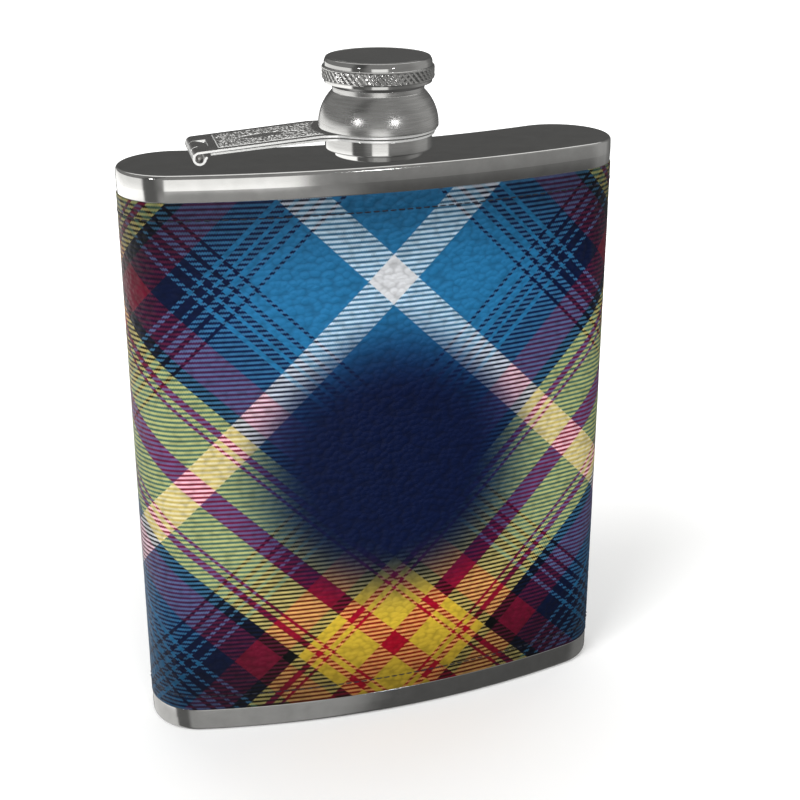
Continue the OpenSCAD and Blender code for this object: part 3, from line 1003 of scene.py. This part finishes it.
def make_panel(material):
    """The stamped panel on the upper leaf: a raised border, fine pebbles, and a smooth groove."""
    path = upper_path()
    columns, rows = PANEL_COLUMNS, PANEL_ROWS
    verts = []
    for layer in (0, 1):
        for j in range(rows + 1):
            y = PANEL_HALF * (2 * j / rows - 1)
            x_end = -math.sqrt(PANEL_R ** 2 - y * y)
            for i in range(columns + 1):
                x = PANEL_X0 + (x_end - PANEL_X0) * i / columns
                verts.append(path.at(-x, y, -panel_height(x, y, x_end) if layer else PANEL_SUNK))
    across = columns + 1
    per_layer = across * (rows + 1)
    faces = []
    for layer in (0, 1):
        grid = [[layer * per_layer + j * across + i for i in range(across)] for j in range(rows + 1)]
        faces += quads_between(grid, False, False)
    ring = list(range(across))
    ring += [j * across + columns for j in range(1, rows + 1)]
    ring += [rows * across + i for i in reversed(range(columns))]
    ring += [j * across for j in reversed(range(1, rows))]
    faces += [(a, b, per_layer + b, per_layer + a) for a, b in zip(ring, ring[1:] + ring[:1])]
    place(build("leaf_panel", verts, faces, 60), "upper_arm", "pressed_steel", material)


def panel_height(x, y, x_end):
    """Height of the panel over the leaf, from the distances to its rim and to the lens-shaped groove."""
    rim = min(x - PANEL_X0, x_end - x, PANEL_HALF - abs(y))
    mid = (GROOVE_X0 + GROOVE_X1) / 2
    t = (x - mid) / (GROOVE_X1 - mid)
    lens = GROOVE_HALF * max(0, 1 - t * t) ** 0.7
    off = math.hypot(abs(y) - lens, max(0, abs(t) - 1) * 4) if abs(y) > lens else 0
    border = bell(rim - 0.22, RIDGE_WIDTH) * BORDER_H
    lip = bell(off - 0.2, RIDGE_WIDTH) * LIP_H
    field = min(1, max(0, (rim - 0.4) / 0.12)) * min(1, max(0, (off - 0.1) / 0.25))
    distances = noise.voronoi(Vector((x / PEBBLE_PITCH, y / PEBBLE_PITCH, 5.0)))[0]
    pebble = max(0, 1 - (distances[0] / PEBBLE_REACH) ** 2)
    return FLOOR_H + border + lip + field * (FIELD_H + PEBBLE_H * pebble)


PIN_HALF = 6.55
PIN_SECTORS = 40


def make_pin(material):
    corners = [
        (0, -PIN_HALF, 0), (0.3, -PIN_HALF + 0.02, 0.2), (PIN_R, -PIN_HALF + 0.22, 0.15),
        (PIN_R, PIN_HALF - 0.22, 0.15), (0.3, PIN_HALF - 0.02, 0.2), (0, PIN_HALF, 0)
    ]
    verts, rows = [], []
    for r, y in filleted(corners, 4):
        row = []
        for i in range(PIN_SECTORS if r > POLE_R else 1):
            a = 2 * math.pi * i / PIN_SECTORS
            row.append(len(verts))
            verts.append(on_arm(PIN_X + r * math.cos(a), y, PIN_Z + r * math.sin(a)))
        rows.append(row)
    piece = build("pin", verts, quads_between(rows, False, True), 40)
    place(piece, "lower_arm", "pin_steel", material, "hinge_pin")


# ---- Stage, light and camera ----

# Places and sizes from here on are in metres
FLOOR_HALF, FLOOR_DROP = 6.0, 0.0002
FLOOR_COLOUR = (0.9, 0.9, 0.9, 1)
# The floor glows away from the flask, so that it is as pale as the backdrop and still takes a shadow
FLOOR_GLOW = 0.7
FLOOR_NEAR, FLOOR_FAR = -0.05, 0.32


def make_floor():
    mesh = bpy.data.meshes.new("floor")
    corners = [(x * FLOOR_HALF, y * FLOOR_HALF, 0) for x, y in ((-1, -1), (1, -1), (1, 1), (-1, 1))]
    mesh.from_pydata(corners, [], [(0, 1, 2, 3)])
    floor = bpy.data.objects.new("floor", mesh)
    floor.location.z = -FLOOR_DROP
    bpy.context.scene.collection.objects.link(floor)
    material, nodes, shader, place_in = new_material("floor")
    shader.inputs["Base Color"].default_value = FLOOR_COLOUR
    shader.inputs["Roughness"].default_value = 1.0
    shader.inputs["Specular IOR Level"].default_value = 0.0
    shader.inputs["Emission Color"].default_value = WHITE
    away = nodes.add("VectorMath", {0: place_in}, operation="LENGTH").outputs["Value"]
    glow = nodes.math("MULTIPLY", nodes.smooth(away, FLOOR_NEAR, FLOOR_FAR), FLOOR_GLOW)
    nodes.put(shader.inputs["Emission Strength"], glow)
    mesh.materials.append(material)
    floor.visible_glossy = False
    floor.visible_diffuse = False
    floor.visible_shadow = False


CAMERA_AT = (-0.08265, -0.26114, 0.17681)
CAMERA_TURN = (67.744, 0.0, -18.33)
# In millimetres
LENS, SENSOR = 67.79, 36.0


def make_camera():
    data = bpy.data.cameras.new("camera")
    data.lens = LENS
    data.sensor_width = SENSOR
    camera = bpy.data.objects.new("camera", data)
    camera.location = CAMERA_AT
    camera.rotation_euler = [math.radians(a) for a in CAMERA_TURN]
    bpy.context.scene.collection.objects.link(camera)
    bpy.context.scene.camera = camera


# Height about which the lights are placed, the point that they face, and whether the steel mirrors them:
# name, azimuth, elevation, distance, size, power in watts, mirrored
LIGHT_BASE, LIGHT_TO = 0.07, Vector((0, 0, 0.06))
LIGHTS = [
    ("key", -38, 50, 3.0, 1.3, 46.0, False),
    ("front", 14, 32, 3.0, 1.6, 34.0, False),
    ("spot_left", -40, 20, 0.7, 0.07, 0.3, True),
    ("spot_right", 33, 20, 0.7, 0.07, 0.3, True),
]


def aim(azimuth, elevation, distance):
    """A place seen from the flask, azimuth from the camera's side of it and positive to the right."""
    a = math.radians(azimuth + CAMERA_TURN[2] - 90)
    e = math.radians(elevation)
    flat = distance * math.cos(e)
    return Vector((flat * math.cos(a), flat * math.sin(a), LIGHT_BASE + distance * math.sin(e)))


def area_light(name, at, size, power, glossy):
    data = bpy.data.lights.new(name, "AREA")
    data.shape = "DISK"
    data.size = size
    data.energy = power
    light = bpy.data.objects.new(name, data)
    light.location = at
    light.rotation_euler = (LIGHT_TO - at).to_track_quat("-Z", "Y").to_euler()
    light.visible_glossy = glossy
    bpy.context.scene.collection.objects.link(light)


def make_lights():
    for name, azimuth, elevation, distance, size, power, glossy in LIGHTS:
        area_light(name, aim(azimuth, elevation, distance), size, power, glossy)


def band(nodes, value, low, high, soft):
    """1 between low and high, with soft ends."""
    rise = nodes.smooth(value, low - soft, low + soft)
    fall = nodes.smooth(value, high - soft, high + soft)
    return nodes.math("SUBTRACT", rise, fall)


# Softboxes and flags round the flask: azimuth from and to, elevation from and to, softness, strength
ROOM = [
    (-152, -57, -70, -13, 2, 0.7),
    (-152, -57, -24, 1, 3, 1.15),
    (-150, -57, 6, 80, 8, 0.2),
    (-12.5, 21.5, -17, -2, 1.5, 1.15),
    (-12.5, 21.5, -19, -12, 1.5, 0.45),
    (-26, 130, -16, 80, 8, 0.23),
    (-26, 30, -80, -19, 5, 0.31),
    (-57, -26, -60, 20, 5, 0.04),
    (85, 150, -60, 60, 15, 0.12),
    (-400, -135, 36, 84, 5, 1.3),
    (135, 400, 36, 84, 5, 1.3),
]
ROOM_BASE = 0.11
# Blue in the studio's light, as a share of its red and green
ROOM_BLUE = 0.98


def make_world():
    """A studio that only mirrors and lights; the camera sees plain white."""
    world = bpy.data.worlds.new("studio")
    world.use_nodes = True
    bpy.context.scene.world = world
    nodes = Nodes(world.node_tree)
    ray = nodes.add("SeparateXYZ", {0: nodes.add("TexCoord").outputs["Generated"]})
    x, y, z = ray.outputs
    turn = math.radians(CAMERA_TURN[2])
    (x_cos, x_sin), (y_cos, y_sin) = (
        [nodes.math("MULTIPLY", part, share) for share in (math.cos(turn), math.sin(turn))] for part in (x, y)
    )
    right = nodes.math("ADD", x_cos, y_sin)
    towards = nodes.math("SUBTRACT", x_sin, y_cos)
    azimuth = nodes.math("DEGREES", nodes.math("ARCTAN2", right, towards))
    elevation = nodes.math("DEGREES", nodes.math("ARCSINE", z))
    light = ROOM_BASE
    for a0, a1, e0, e1, soft, strength in ROOM:
        box = [band(nodes, azimuth, a0, a1, soft), band(nodes, elevation, e0, e1, soft)]
        light = nodes.math("MULTIPLY_ADD", nodes.math("MULTIPLY", *box), strength, light)
    lit = nodes.add("CombineColor", {0: light, 1: light, 2: nodes.math("MULTIPLY", light, ROOM_BLUE)})
    seen = nodes.add("LightPath").outputs["Is Camera Ray"]
    colour = nodes.mix(seen, lit.outputs[0], WHITE)
    nodes.put(world.node_tree.nodes["Background"].inputs[0], colour)


# ---- The scene ----

polished = steel("polished_steel", (0.495, 0.49, 0.482, 1), (0.595, 0.59, 0.582, 1), 0.13,
                 (300, 300, 300), grain=1.2e-6)
turned_metal = steel("turned_steel", (0.425, 0.42, 0.413, 1), (0.635, 0.63, 0.623, 1), 0.27,
                     (200, 200, 3600), depth=1.6e-6, detail=1.0)
smooth_turned = steel("smooth_turned_steel", (0.46, 0.455, 0.448, 1), (0.55, 0.545, 0.538, 1), 0.11,
                      (260, 260, 6000), depth=8e-7)
# The pressed and stamped steel paint a highlight on their steep faces: the leaves' edges and curls, the sides
# of the pebbles
pressed = steel("pressed_steel", (0.48, 0.47, 0.46, 1), (0.64, 0.63, 0.62, 1), 0.2, (500, 4000, 500),
                grain=3e-6, highlight_slopes=(0.35, 0.85))
stamped = steel("stamped_steel", (0.45, 0.44, 0.43, 1), (0.7, 0.69, 0.68, 1), 0.26, (2500, 2500, 2500),
                grain=3e-6, highlight_slopes=(0.95, 0.994))
pin_metal = steel("pin_steel", (0.30, 0.29, 0.28, 1), (0.5, 0.49, 0.48, 1), 0.25, (4000, 400, 4000))
leather = printed_leather()
thread = thread_material()
grey_weld = plain_material("weld_metal", (0.28, 0.27, 0.26, 1), (0.45, 0.44, 0.42, 1), 0.45, 900.0, 1.0)
braze = plain_material("braze_metal", (0.5, 0.44, 0.3, 1), (0.65, 0.6, 0.45, 1), 0.4, 900.0, 1.0)
glue = plain_material("glue", (0.35, 0.28, 0.16, 1), (0.5, 0.42, 0.28, 1), 0.5, 600.0)
rubber = plain_material("seal_rubber", (0.012, 0.012, 0.013, 1), (0.03, 0.03, 0.032, 1), 0.7, 1500.0)

make_pans(polished)
make_wrap(leather)
make_stitches(thread)
make_collar(smooth_turned)
make_dome(turned_metal)
make_crown(smooth_turned)
make_disc(polished)
make_links(pressed)
make_panel(stamped)
make_pin(pin_metal)

# CAD nodes that show as they are, mostly inside
KEPT = {
    "body_shell": polished, "body_seam_weld": grey_weld, "shoulder_weld": grey_weld, "base_weld": grey_weld,
    "neck_spout": turned_metal, "neck_braze": braze, "wrap_adhesive": glue,
    "cap_seal": rubber, "cap_sleeve": turned_metal,
}
for node_name, its_material in KEPT.items():
    wear(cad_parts[node_name], its_material)

make_floor()
make_camera()
make_lights()
make_world()
bpy.context.scene.view_settings.view_transform = "Standard"
